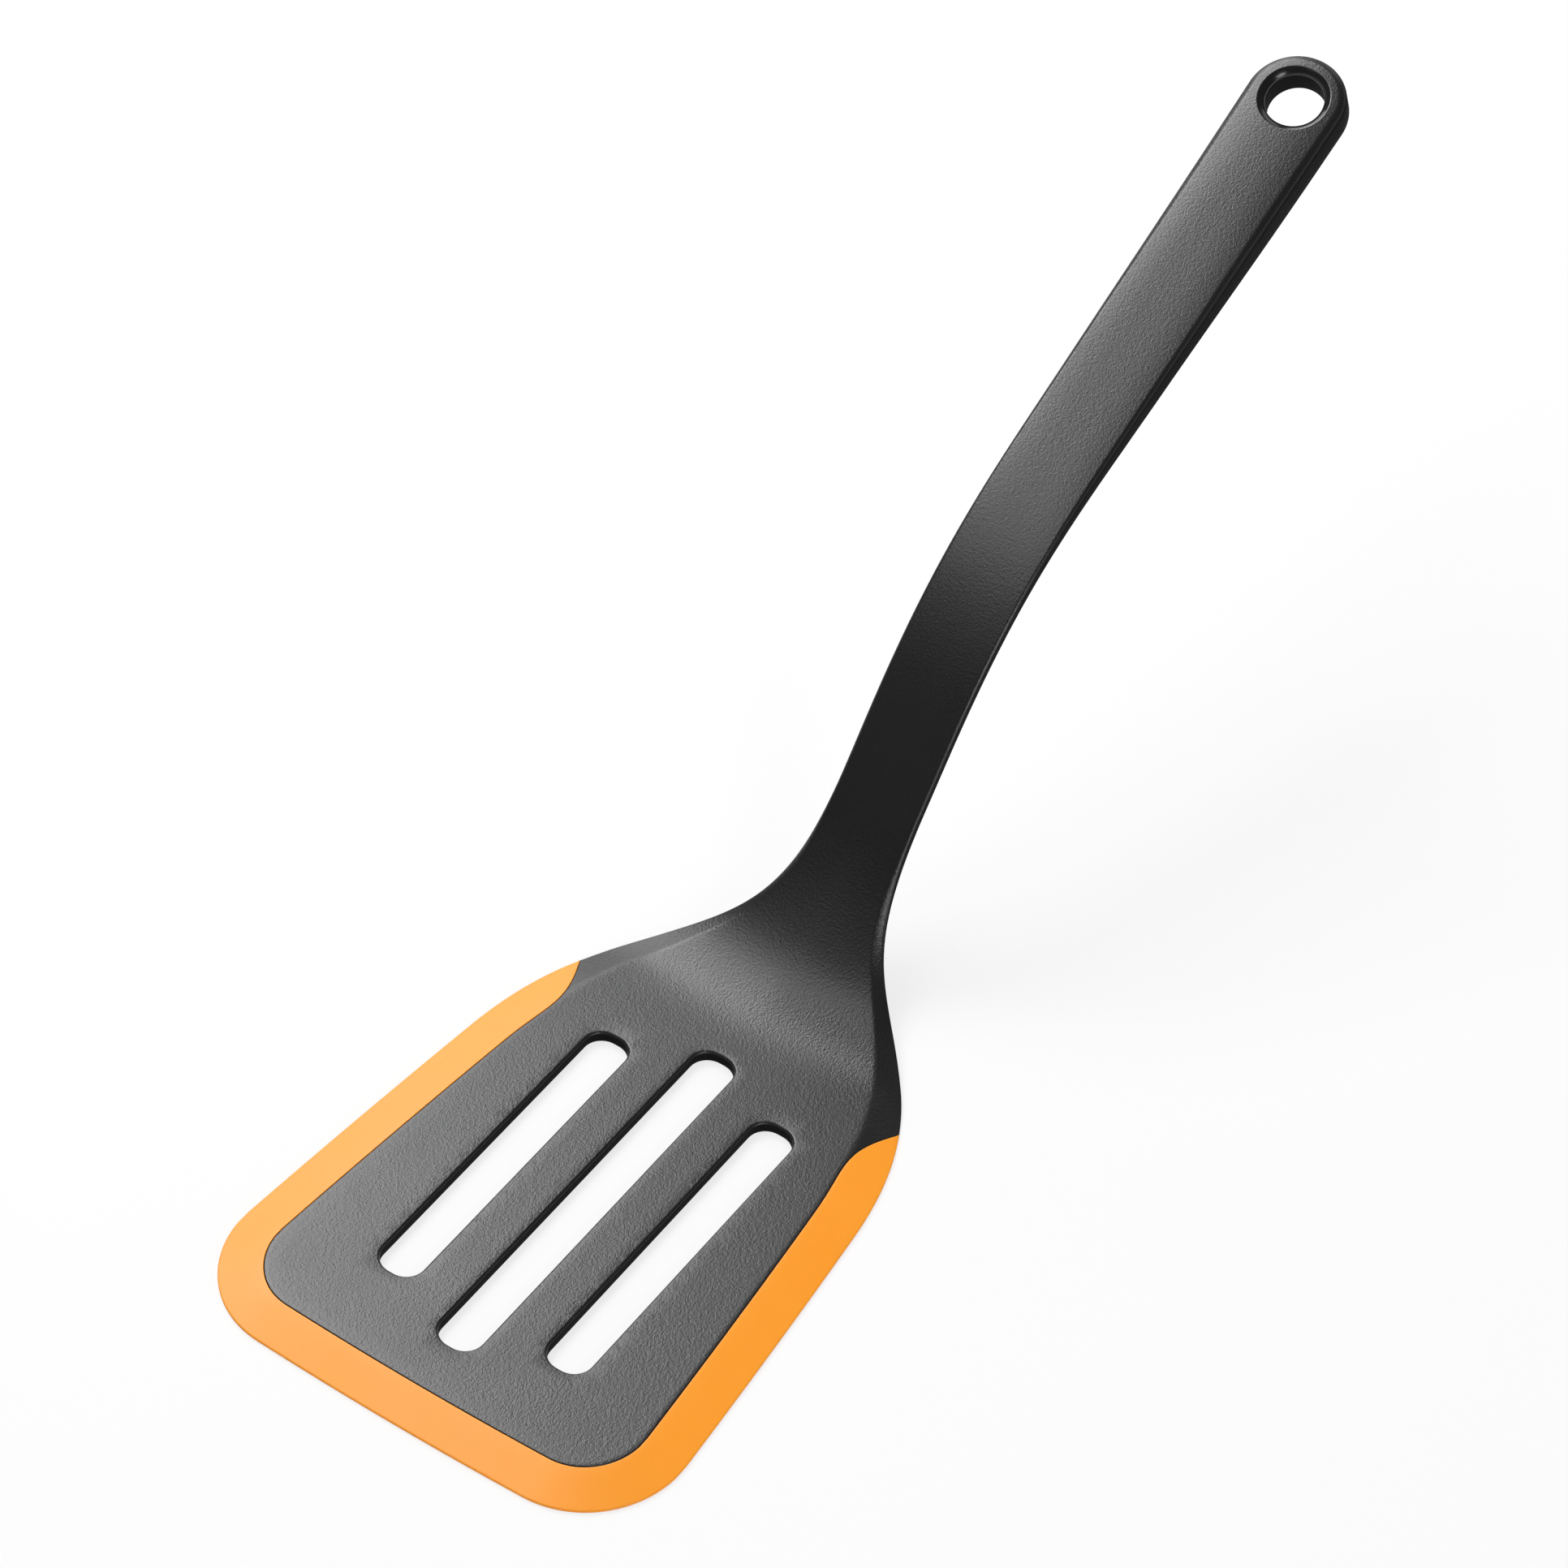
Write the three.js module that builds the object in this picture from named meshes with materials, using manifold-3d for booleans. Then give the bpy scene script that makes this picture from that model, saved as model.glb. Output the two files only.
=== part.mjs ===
// Slotted kitchen spatula: a black nylon body (handle, neck and slotted blade in one moulding)
// with an orange silicone lip moulded round the front and both sides of the blade.
//
// Millimetres, +Z up. The blade lies flat on Z = 0 with its front edge towards -X, the handle rises
// towards +X, and Y = 0 is the plane of symmetry. The origin is under the middle of the part's length.
//
// The body is laid out flat first. s runs along its top face from the front edge to the end of the
// handle, y runs across, and depth is measured down from the top face. The flat layout is then
// bent along the spine, the side view of that top face.

import * as THREE from 'three';
import { mergeVertices } from 'three/addons/utils/BufferGeometryUtils.js';
import Module from 'manifold-3d';

const wasm = await Module();
wasm.setup();

// Blade
const BLADE_THICKNESS = 2.3;
const RIM_THICKNESS = 0.55;
const FRONT_RADIUS = 730;
const FRONT_HALF_WIDTH = 27;
const CORNER_LENGTH = 21.6;
const CORNER_EASE = 10.9;
const BLADE_HALF_WIDTH = 45;
const SIDE_LENGTH = 56;
const REAR_HALF_WIDTH = 40.15;
const SIDE_BULGE = 0.2;

// Shoulders, where the blade narrows into the neck
const SHOULDER_LENGTH = 32.4;
const SHOULDER_HALF_WIDTH = 28.6;
const SHOULDER_ANGLE = 39.4;
const SHOULDER_EASE_FRONT = 5.7;
const SHOULDER_EASE_REAR = 14.7;
const NECK_EASE_FRONT = 18.7;
const NECK_EASE_REAR = 28.4;
const NECK_LENGTH = 44.1;
const NECK_HALF_WIDTH = 8.33;
const NECK_THICKNESS = 4.5;
const NECK_SIDE = 1.5;
const NECK_BEVEL = 0.65;
const NECK_BEVEL_DEPTH = 0.5;

// Handle
const HANDLE_LENGTH = 148;
const HANDLE_EASE = 41;
const HANDLE_END_RADIUS = 9.35;
const HANDLE_THICKNESS = 6.4;
const HANDLE_SIDE = 6.05;
const HANDLE_BEVEL = 0.95;
const HOLE_RADIUS = 5.38;
const HOLE_RIM_RADIUS = 6.65;
const HOLE_RIM_DEPTH = 0.95;

// Ends of the stretches of the body along s
const SIDE_END = CORNER_LENGTH + SIDE_LENGTH;
const SHOULDER_END = SIDE_END + SHOULDER_LENGTH;
const NECK_END = SHOULDER_END + NECK_LENGTH;
const HOLE_CENTRE = NECK_END + HANDLE_LENGTH;

// Slots
const SLOT_WIDTH = 8.2;
const SLOT_PITCH = 17.25;
const SLOT_CORNER_RADIUS = 3.6;
const SLOT_EDGE_CHAMFER = 0.4;
const MIDDLE_SLOT_START = 17.5;
const MIDDLE_SLOT_END = SHOULDER_END - 0.392 * SHOULDER_LENGTH;
const SIDE_SLOT_START = 24.4;
const SIDE_SLOT_END = SHOULDER_END - 0.62 * SHOULDER_LENGTH;

// Silicone lip and the nylon ledge that it is anchored to
const LIP_WIDTH = 7.7;
const LIP_TAIL_START = SIDE_END + 0.151 * SHOULDER_LENGTH;
const LIP_TAIL_EASE = 8.8;
const LIP_TIP = SIDE_END + 0.756 * SHOULDER_LENGTH;
const LIP_TIP_EASE = 11;
const LIP_TIP_ANGLE = 25;
const LEDGE_REACH = 3;
const LEDGE_THICKNESS = 0.6;
const ANCHOR_COUNT = 15;
const ANCHOR_RADIUS = 0.75;
const CLEARANCE = 0.3;
const LEDGE_END = SIDE_END + CLEARANCE;

// Side view of the top face: each bend turns it up (+) or down (-) by some degrees over a length
const BENDS = [
  { start: SHOULDER_END - 0.315 * SHOULDER_LENGTH, length: 0.63 * NECK_LENGTH, turn: 28.75 },
  { start: SHOULDER_END - 0.34 * SHOULDER_LENGTH, length: 1.45 * NECK_LENGTH, turn: 24.9 },
  { start: NECK_END + 0.026 * HANDLE_LENGTH, length: 0.475 * HANDLE_LENGTH, turn: -29.8 },
];

// Sections of the blade, the neck and the handle. bevel is the width of the sloping edge of the top
// face, foot the depth at the bottom of that slope, edge the depth of the underside at the outline,
// and belly its depth in the middle.
const RIM_DEPTH = BLADE_THICKNESS - RIM_THICKNESS;
const BLADE = { bevel: LIP_WIDTH, foot: RIM_DEPTH, edge: BLADE_THICKNESS, belly: BLADE_THICKNESS };
const NECK = { bevel: NECK_BEVEL, foot: NECK_BEVEL_DEPTH, edge: NECK_SIDE, belly: NECK_THICKNESS };
const HANDLE = { bevel: HANDLE_BEVEL, foot: HANDLE_BEVEL, edge: HANDLE_SIDE, belly: HANDLE_THICKNESS };

// Section at s between two of these, with the share of the way that each size has gone
function between(s, from, to, shares) {
  const sizes = Object.entries(shares).map(([field, share]) => (
    [field, THREE.MathUtils.lerp(from[field], to[field], share)]
  ));
  return { s, ...Object.fromEntries(sizes) };
}

const SECTIONS = [
  { s: 0, ...BLADE },
  { s: SIDE_END + 0.2 * SHOULDER_LENGTH, ...BLADE },
  between(SIDE_END + 0.75 * SHOULDER_LENGTH, BLADE, NECK, { bevel: 0.24, foot: 0, edge: 0, belly: 0 }),
  between(SHOULDER_END, BLADE, NECK, { bevel: 0.44, foot: 0.04, edge: 0.06, belly: 0.07 }),
  between(SHOULDER_END + 0.25 * NECK_LENGTH, BLADE, NECK, {
    bevel: 0.74, foot: 0.32, edge: 0.19, belly: 0.36,
  }),
  between(SHOULDER_END + 0.55 * NECK_LENGTH, BLADE, NECK, {
    bevel: 0.91, foot: 0.72, edge: 0.62, belly: 0.77,
  }),
  { s: SHOULDER_END + 0.9 * NECK_LENGTH, ...NECK },
  between(NECK_END + 0.25 * HANDLE_LENGTH, NECK, HANDLE, { bevel: 0, foot: 0.1, edge: 0.02, belly: 0.1 }),
  between(NECK_END + 0.6 * HANDLE_LENGTH, NECK, HANDLE, { bevel: 0.67, foot: 0.78, edge: 0.5, belly: 0.47 }),
  between(HOLE_CENTRE - HANDLE_END_RADIUS, NECK, HANDLE, { bevel: 1, foot: 1, edge: 0.98, belly: 0.97 }),
  { s: HOLE_CENTRE + HANDLE_END_RADIUS, ...HANDLE },
];

// Share of the half width over which the underside is level; from there it rounds up to the outline
const BELLY_LEVEL = 0.5;

// Steps along each stretch of the half outline, and across the rounded part of the underside
const OUTLINE_STEPS = { front: 3, corner: 9, side: 5, shoulder: 12, neck: 16, handle: 18, end: 9 };
const BELLY_ROUND_SHARES = [0, 0.45, 0.75, 0.93, 1];
const LIP_TAIL_STEPS = 10;
const SLOT_CORNER_STEPS = 5;
const HOLE_STEPS = 40;
const ANCHOR_STEPS = 12;
const SPINE_STEP = 0.5;
// How far a cutter reaches past the faces that it cuts
const OVERCUT = 2;

const rad = THREE.MathUtils.degToRad;

// Value of one column of SECTIONS at s, on a smooth curve that never overshoots its stations
function sectionSlope(i, field) {
  if (i === 0 || i === SECTIONS.length - 1) return 0;
  const [a, b, c] = [SECTIONS[i - 1], SECTIONS[i], SECTIONS[i + 1]];
  const before = (b[field] - a[field]) / (b.s - a.s);
  const after = (c[field] - b[field]) / (c.s - b.s);
  return before * after > 0 ? (2 * before * after) / (before + after) : 0;
}

function section(s, field) {
  const found = SECTIONS.findIndex((station) => station.s > s);
  const i = (found < 0 ? SECTIONS.length - 1 : found) - 1;
  const [a, b] = [SECTIONS[i], SECTIONS[i + 1]];
  const span = b.s - a.s;
  const t = (s - a.s) / span;
  const rise = t * t * (3 - 2 * t) * (b[field] - a[field]);
  const leaving = t * (1 - t) ** 2 * span * sectionSlope(i, field);
  const arriving = t * t * (t - 1) * span * sectionSlope(i + 1, field);
  return a[field] + rise + leaving + arriving;
}

// Point of the bent body that lies at s, y and depth in the flat layout
function heading(s) {
  const turned = BENDS.map(({ start, length, turn }) => (
    rad(turn) * THREE.MathUtils.smoothstep(s, start, start + length)
  ));
  return turned.reduce((sum, angle) => sum + angle);
}

function spine(s) {
  const steps = Math.max(1, Math.ceil(s / SPINE_STEP));
  const step = s / steps;
  let x = 0;
  let z = BLADE_THICKNESS;
  for (let i = 0; i < steps; i += 1) {
    const angle = heading((i + 0.5) * step);
    x += Math.cos(angle) * step;
    z += Math.sin(angle) * step;
  }
  return { x, z, angle: heading(s) };
}

function place(s, y, depth) {
  const { x, z, angle } = spine(s);
  return [x + depth * Math.sin(angle), y, z - depth * Math.cos(angle)];
}

// Half outline in the flat layout, from the middle of the front edge to the end of the handle
const point = (s, y) => new THREE.Vector2(s, y);
const direction = (degrees) => point(Math.cos(rad(degrees)), Math.sin(rad(degrees)));
const ease = (from, way, length) => from.clone().addScaledVector(way, length);

function halfOutline() {
  const frontAngle = Math.asin(FRONT_HALF_WIDTH / FRONT_RADIUS);
  const frontEnd = point(FRONT_RADIUS * (1 - Math.cos(frontAngle)), FRONT_HALF_WIDTH);
  const cornerEnd = point(CORNER_LENGTH, BLADE_HALF_WIDTH);
  const rear = point(SIDE_END, REAR_HALF_WIDTH);
  const sideMiddle = cornerEnd.clone().add(rear).multiplyScalar(0.5);
  sideMiddle.y += 2 * SIDE_BULGE;
  const shoulder = point(SHOULDER_END, SHOULDER_HALF_WIDTH);
  const neck = point(NECK_END, NECK_HALF_WIDTH);
  const handle = point(HOLE_CENTRE, HANDLE_END_RADIUS);

  const frontWay = point(Math.sin(frontAngle), Math.cos(frontAngle));
  const sideWay = sideMiddle.clone().sub(cornerEnd).normalize();
  const rearWay = rear.clone().sub(sideMiddle).normalize();
  const shoulderWay = direction(-SHOULDER_ANGLE);
  const neckWay = direction(0);

  return [
    [new THREE.EllipseCurve(
      FRONT_RADIUS, 0, FRONT_RADIUS, FRONT_RADIUS, Math.PI, Math.PI - frontAngle, true,
    ), OUTLINE_STEPS.front],
    [new THREE.CubicBezierCurve(
      frontEnd,
      ease(frontEnd, frontWay, CORNER_EASE),
      ease(cornerEnd, sideWay, -CORNER_EASE),
      cornerEnd,
    ), OUTLINE_STEPS.corner],
    [new THREE.QuadraticBezierCurve(cornerEnd, sideMiddle, rear), OUTLINE_STEPS.side],
    [new THREE.CubicBezierCurve(
      rear,
      ease(rear, rearWay, SHOULDER_EASE_FRONT),
      ease(shoulder, shoulderWay, -SHOULDER_EASE_REAR),
      shoulder,
    ), OUTLINE_STEPS.shoulder],
    [new THREE.CubicBezierCurve(
      shoulder,
      ease(shoulder, shoulderWay, NECK_EASE_FRONT),
      ease(neck, neckWay, -NECK_EASE_REAR),
      neck,
    ), OUTLINE_STEPS.neck],
    [new THREE.QuadraticBezierCurve(neck, ease(neck, neckWay, HANDLE_EASE), handle), OUTLINE_STEPS.handle],
    [new THREE.EllipseCurve(
      HOLE_CENTRE, 0, HANDLE_END_RADIUS, HANDLE_END_RADIUS, Math.PI / 2, 0, true,
    ), OUTLINE_STEPS.end],
  ];
}

// Samples of the half outline, each with the normal that points into the body
const outline = [];
for (const [curve, steps] of halfOutline()) {
  for (let i = outline.length ? 1 : 0; i <= steps; i += 1) {
    const at = curve.getPoint(i / steps);
    const along = curve.getTangent(i / steps);
    outline.push({ s: at.x, y: at.y, normal: point(along.y, -along.x) });
  }
}
outline[0].y = 0;
outline[0].normal = point(1, 0);
outline.at(-1).y = 0;
outline.at(-1).normal = point(-1, 0);

const inset = (sample, amount) => ease(point(sample.s, sample.y), sample.normal, amount);

// Samples from the middle of the front edge up to s, the last of them exactly there
function outlineTo(s) {
  const next = outline.findIndex((sample) => sample.s >= s);
  const [a, b] = [outline[next - 1], outline[next]];
  const share = (s - a.s) / (b.s - a.s);
  const normal = a.normal.clone().lerp(b.normal, share).normalize();
  return [...outline.slice(0, next), { s, y: THREE.MathUtils.lerp(a.y, b.y, share), normal }];
}

// Solids
function toSolid(geometry) {
  const bare = geometry.clone();
  bare.deleteAttribute('normal');
  bare.deleteAttribute('uv');
  const merged = mergeVertices(bare, 1e-4);
  const vertProperties = Float32Array.from(merged.attributes.position.array);
  const triVerts = Uint32Array.from(merged.index.array);
  return new wasm.Manifold(new wasm.Mesh({ numProp: 3, vertProperties, triVerts }));
}

function toGeometry(solid) {
  const { vertProperties, triVerts } = solid.getMesh();
  const geometry = new THREE.BufferGeometry();
  geometry.setAttribute('position', new THREE.BufferAttribute(Float32Array.from(vertProperties), 3));
  geometry.setIndex(new THREE.BufferAttribute(Uint32Array.from(triVerts), 1));
  geometry.computeVertexNormals();
  return geometry;
}

// Closed mesh from a list of points and a list of triangles, leaving out triangles with no area
function meshSolid(points, triangles) {
  const geometry = new THREE.BufferGeometry();
  geometry.setAttribute('position', new THREE.Float32BufferAttribute(points.flat(), 3));
  geometry.setIndex(triangles.filter(([a, b, c]) => {
    const [p, q, r] = [a, b, c].map((i) => points[i].join());
    return p !== q && q !== r && r !== p;
  }).flat());
  return toSolid(geometry);
}

function prism(points, bottom, top) {
  const settings = { depth: top - bottom, bevelEnabled: false };
  const geometry = new THREE.ExtrudeGeometry(new THREE.Shape(points), settings);
  return toSolid(geometry.translate(0, 0, bottom));
}

// Whole body with its lip, before it is divided: a wall round the outline, the sloping edge of the
// top face, the top face itself and the underside
function envelope() {
  const points = [];
  const triangles = [];
  const add = (s, y, depth) => points.push(place(s, y, depth)) - 1;
  const quad = (a, b, c, d) => triangles.push([a, b, c], [a, c, d]);
  const right = BELLY_ROUND_SHARES.map((t) => (
    { across: BELLY_LEVEL + (1 - BELLY_LEVEL) * t, share: Math.sqrt(1 - t * t) }
  ));
  const columns = [...right.map(({ across, share }) => ({ across: -across, share })).reverse(), ...right];

  const rows = outline.map((sample) => {
    const { s, y } = sample;
    const { x: creaseS, y: creaseY } = inset(sample, section(s, 'bevel'));
    const edge = section(s, 'edge');
    const crown = section(s, 'belly') - edge;
    const under = columns.map(({ across, share }) => add(s, across * y, edge + crown * share));
    const foot = [-1, 1].map((side) => add(s, side * y, section(s, 'foot')));
    const crease = [-1, 1].map((side) => add(creaseS, side * creaseY, 0));
    return { under, foot, crease };
  });

  for (let i = 1; i < rows.length; i += 1) {
    const [a, b] = [rows[i - 1], rows[i]];
    for (let k = 1; k < columns.length; k += 1) {
      quad(a.under[k - 1], a.under[k], b.under[k], b.under[k - 1]);
    }
    quad(a.under[0], b.under[0], b.foot[0], a.foot[0]);
    quad(a.foot[0], b.foot[0], b.crease[0], a.crease[0]);
    quad(a.crease[0], b.crease[0], b.crease[1], a.crease[1]);
    quad(a.crease[1], b.crease[1], b.foot[1], a.foot[1]);
    quad(a.foot[1], b.foot[1], b.under.at(-1), a.under.at(-1));
  }
  return meshSolid(points, triangles);
}

// Line between nylon and silicone, from the middle of the front to the tip on one shoulder and on
// past the outline, moved towards the rim by some amount
function lipLine(shift) {
  const parallel = outlineTo(LIP_TAIL_START);
  const inner = parallel.map((sample) => inset(sample, LIP_WIDTH - shift));
  const last = parallel.at(-1);
  const from = inset(last, LIP_WIDTH);
  const tip = inset(outlineTo(LIP_TIP).at(-1), 0);
  const tipWay = direction(LIP_TIP_ANGLE);
  const lastWay = point(-last.normal.y, last.normal.x);
  const tail = new THREE.CubicBezierCurve(
    from,
    ease(from, lastWay, LIP_TAIL_EASE),
    ease(tip, tipWay, -LIP_TIP_EASE),
    tip,
  );
  for (let i = 1; i <= LIP_TAIL_STEPS; i += 1) {
    const along = tail.getTangent(i / LIP_TAIL_STEPS);
    const outward = point(-along.y, along.x);
    inner.push(ease(tail.getPoint(i / LIP_TAIL_STEPS), outward, shift));
  }
  inner.push(ease(inner.at(-1), tipWay, OVERCUT));
  return inner;
}

const mirrored = (points) => points.map(({ x, y }) => point(x, -y)).reverse();

// Everything outside the line between nylon and silicone, as a U-shaped block round the blade
function lipZone(shift) {
  const line = lipLine(shift);
  const far = Math.max(...outline.map(({ y }) => y)) + OVERCUT;
  const corner = point(line.at(-1).x, far);
  const outside = [corner, point(-OVERCUT, far)];
  const points = [...mirrored(line), ...line.slice(1), ...outside, ...mirrored(outside)];
  return prism(points, -OVERCUT, BLADE_THICKNESS + OVERCUT);
}

// Band round the blade from a distance in from the outline to just inside the nylon, up to a height
function ledgeBand(distance, end, height) {
  const samples = outlineTo(end);
  const outer = samples.map((sample) => inset(sample, distance));
  const inner = samples.map((sample) => inset(sample, LIP_WIDTH + OVERCUT));
  const outerLine = [...mirrored(outer), ...outer.slice(1)];
  const innerLine = [...mirrored(inner), ...inner.slice(1)];
  return prism([...outerLine, ...innerLine.reverse()], -OVERCUT, height);
}

// Round pegs that stand in a row along the middle of the ledge
function anchors(radius, bottom, top) {
  const half = outlineTo(LEDGE_END).map((sample) => inset(sample, LIP_WIDTH - LEDGE_REACH / 2));
  const row = new THREE.SplineCurve([...mirrored(half), ...half.slice(1)]);
  const pegs = [];
  for (let i = 0; i < ANCHOR_COUNT; i += 1) {
    const at = row.getPointAt((i + 0.5) / ANCHOR_COUNT);
    const peg = new THREE.CylinderGeometry(radius, radius, top - bottom, ANCHOR_STEPS);
    pegs.push(toSolid(peg.rotateX(Math.PI / 2).translate(at.x, at.y, (top + bottom) / 2)));
  }
  return wasm.Manifold.union(pegs);
}

// Cutter for one slot: a rounded oblong, wider at the top for the chamfered edge
function slotCutter(start, end, y) {
  const length = end - start;
  const ring = (grow, z) => {
    const corners = [[1, 1], [-1, 1], [-1, -1], [1, -1]];
    return corners.flatMap(([sx, sy], quarter) => {
      const cx = start + length / 2 + sx * (length / 2 - SLOT_CORNER_RADIUS);
      const cy = y + sy * (SLOT_WIDTH / 2 - SLOT_CORNER_RADIUS);
      const reach = SLOT_CORNER_RADIUS + grow;
      return Array.from({ length: SLOT_CORNER_STEPS + 1 }, (_, i) => {
        const angle = (quarter + i / SLOT_CORNER_STEPS) * (Math.PI / 2);
        return [cx + reach * Math.cos(angle), cy + reach * Math.sin(angle), z];
      });
    });
  };
  const rings = [
    ring(0, -OVERCUT),
    ring(0, BLADE_THICKNESS - SLOT_EDGE_CHAMFER),
    ring(SLOT_EDGE_CHAMFER + OVERCUT, BLADE_THICKNESS + OVERCUT),
  ];
  const count = rings[0].length;
  const triangles = [];
  for (let i = 0; i < count; i += 1) {
    const next = (i + 1) % count;
    for (let level = 1; level < rings.length; level += 1) {
      const [low, high] = [(level - 1) * count, level * count];
      triangles.push([low + i, low + next, high + next], [low + i, high + next, high + i]);
    }
    const top = (rings.length - 1) * count;
    triangles.push([0, next, i], [top, top + i, top + next]);
  }
  return meshSolid(rings.flat(), triangles);
}

// Cutter for the hanging hole, square to the top face of the handle
function holeCutter() {
  const below = section(HOLE_CENTRE, 'belly') + OVERCUT;
  const flare = (HOLE_RIM_RADIUS - HOLE_RADIUS) / HOLE_RIM_DEPTH;
  const profile = [
    point(0, -below),
    point(HOLE_RADIUS, -below),
    point(HOLE_RADIUS, -HOLE_RIM_DEPTH),
    point(HOLE_RIM_RADIUS + flare * OVERCUT, OVERCUT),
    point(0, OVERCUT),
  ];
  const { x, z, angle } = spine(HOLE_CENTRE);
  const cutter = new THREE.LatheGeometry(profile, HOLE_STEPS).rotateX(Math.PI / 2);
  return toSolid(cutter.rotateY(-angle).translate(x, 0, z));
}

// Pieces
const whole = envelope();

function nylonBody() {
  const ledge = ledgeBand(LIP_WIDTH - LEDGE_REACH, LEDGE_END, LEDGE_THICKNESS).intersect(whole);
  const cutters = [
    anchors(ANCHOR_RADIUS + CLEARANCE, -OVERCUT, LEDGE_THICKNESS + OVERCUT),
    slotCutter(MIDDLE_SLOT_START, MIDDLE_SLOT_END, 0),
    slotCutter(SIDE_SLOT_START, SIDE_SLOT_END, SLOT_PITCH),
    slotCutter(SIDE_SLOT_START, SIDE_SLOT_END, -SLOT_PITCH),
    holeCutter(),
  ];
  return whole.subtract(lipZone(0)).add(ledge).subtract(wasm.Manifold.union(cutters));
}

function siliconeLip() {
  const outer = LIP_WIDTH - LEDGE_REACH - CLEARANCE;
  const seat = ledgeBand(outer, LEDGE_END + CLEARANCE, LEDGE_THICKNESS + CLEARANCE);
  const pegs = anchors(ANCHOR_RADIUS, 0, LEDGE_THICKNESS + 2 * CLEARANCE);
  return whole.intersect(lipZone(CLEARANCE)).subtract(seat).add(pegs.intersect(whole));
}

const nylon = new THREE.MeshStandardMaterial({ color: 0x2b2b2d, roughness: 0.62, metalness: 0 });
const silicone = new THREE.MeshStandardMaterial({ color: 0xff9a1f, roughness: 0.55, metalness: 0 });

const spatula = new THREE.Group();
for (const [name, solid, material] of [
  ['nylon_body', nylonBody(), nylon],
  ['silicone_lip', siliconeLip(), silicone],
]) {
  const mesh = new THREE.Mesh(toGeometry(solid), material);
  mesh.name = name;
  spatula.add(mesh);
}

const box = new THREE.Box3().setFromObject(spatula);
spatula.position.x = -(box.min.x + box.max.x) / 2;

export default spatula;
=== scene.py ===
import math

import bpy
import bmesh
import numpy as np
from mathutils import Euler, Matrix, Vector
from mathutils.geometry import delaunay_2d_cdt


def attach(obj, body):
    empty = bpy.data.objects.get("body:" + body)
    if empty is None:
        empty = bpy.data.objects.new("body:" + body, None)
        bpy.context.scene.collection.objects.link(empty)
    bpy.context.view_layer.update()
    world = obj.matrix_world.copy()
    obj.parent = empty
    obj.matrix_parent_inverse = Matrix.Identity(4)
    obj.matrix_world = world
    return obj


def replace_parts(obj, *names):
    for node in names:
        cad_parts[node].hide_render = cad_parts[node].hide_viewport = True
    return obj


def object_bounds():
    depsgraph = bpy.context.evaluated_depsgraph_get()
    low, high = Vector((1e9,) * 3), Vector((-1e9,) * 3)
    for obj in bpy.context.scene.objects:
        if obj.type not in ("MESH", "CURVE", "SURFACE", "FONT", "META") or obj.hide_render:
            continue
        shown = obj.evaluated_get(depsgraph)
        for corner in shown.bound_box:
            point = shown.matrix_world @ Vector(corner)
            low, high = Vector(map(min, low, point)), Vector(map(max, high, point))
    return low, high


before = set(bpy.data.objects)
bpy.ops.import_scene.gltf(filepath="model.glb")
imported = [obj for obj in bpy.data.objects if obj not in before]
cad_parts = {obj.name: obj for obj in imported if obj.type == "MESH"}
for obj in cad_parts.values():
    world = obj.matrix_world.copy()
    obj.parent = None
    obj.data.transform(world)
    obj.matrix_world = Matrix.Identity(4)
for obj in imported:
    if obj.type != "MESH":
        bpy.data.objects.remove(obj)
cad_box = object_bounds()

# The spatula is laid out flat in millimetres, as in the part's source. s runs along the top face from
# the front edge to the end of the handle, y runs across, and depth is measured down from the top face.
# The flat layout is then bent along the spine, the side view of that top face.

# Blade, shoulders, neck and handle
BLADE_THICKNESS = 2.3
RIM_DEPTH = 1.75
FRONT_RADIUS = 730
FRONT_HALF_WIDTH = 27
CORNER_LENGTH = 21.6
CORNER_EASE = 10.9
BLADE_HALF_WIDTH = 45
SIDE_LENGTH = 56
REAR_HALF_WIDTH = 40.15
SIDE_BULGE = 0.2
SHOULDER_LENGTH = 32.4
SHOULDER_HALF_WIDTH = 28.6
SHOULDER_ANGLE = 39.4
SHOULDER_EASES = (5.7, 14.7)
NECK_EASES = (18.7, 28.4)
NECK_LENGTH = 44.1
NECK_HALF_WIDTH = 8.33
HANDLE_LENGTH = 148
HANDLE_EASE = 41
HANDLE_END_RADIUS = 9.35

# Ends of the stretches of the body along s
SIDE_END = CORNER_LENGTH + SIDE_LENGTH
SHOULDER_END = SIDE_END + SHOULDER_LENGTH
NECK_END = SHOULDER_END + NECK_LENGTH
HOLE_CENTRE = NECK_END + HANDLE_LENGTH

# Hanging hole
HOLE_RADIUS = 5.38
HOLE_RIM_RADIUS = 6.65
HOLE_RIM_DEPTH = 0.95
HOLE_RIM_ROUND = 0.1
HOLE_CONE_SHARE = 0.65
HOLE_BORE_DROP = 0.4
HOLE_BACK_ROUND = 0.5

# Slots
SLOT_WIDTH = 8.2
SLOT_PITCH = 17.25
SLOT_CORNER_RADIUS = 3.6
SLOT_ROUND = 0.55
SLOT_BACK_ROUND = 0.2
SLOTS = [
    (17.5, SHOULDER_END - 0.392 * SHOULDER_LENGTH, 0),
    (24.4, SHOULDER_END - 0.62 * SHOULDER_LENGTH, SLOT_PITCH),
    (24.4, SHOULDER_END - 0.62 * SHOULDER_LENGTH, -SLOT_PITCH),
]

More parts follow.
